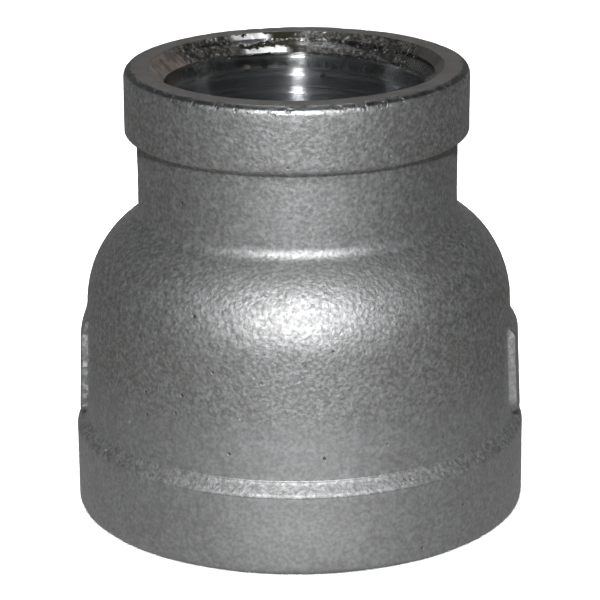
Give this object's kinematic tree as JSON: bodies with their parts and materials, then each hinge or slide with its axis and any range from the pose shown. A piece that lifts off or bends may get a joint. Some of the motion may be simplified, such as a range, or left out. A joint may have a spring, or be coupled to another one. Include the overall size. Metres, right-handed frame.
{
  "type": "concentric pipe reducer",
  "caption": "Banded concentric reducer with internal taper pipe threads at both ends, a rounded shoulder and a raised pad on each side of the bell.",
  "frame": {"origin": "centre of the large end's flat face, on the axis that both threads share", "axes": "+Z along the axis from the large end towards the small end; +X towards one of the two raised pads on the bell, whose middle lies about 2 degrees round from it"},
  "size_m": [0.0532, 0.0532, 0.0524],
  "materials": {
    "cast_stainless": "as-cast and bead-blasted outside with a fine matt grain; turned end faces, countersinks and threads"
  },
  "bodies": {
    "root": {"reducer_body": "cast_stainless"}
  },
  "joints": []
}
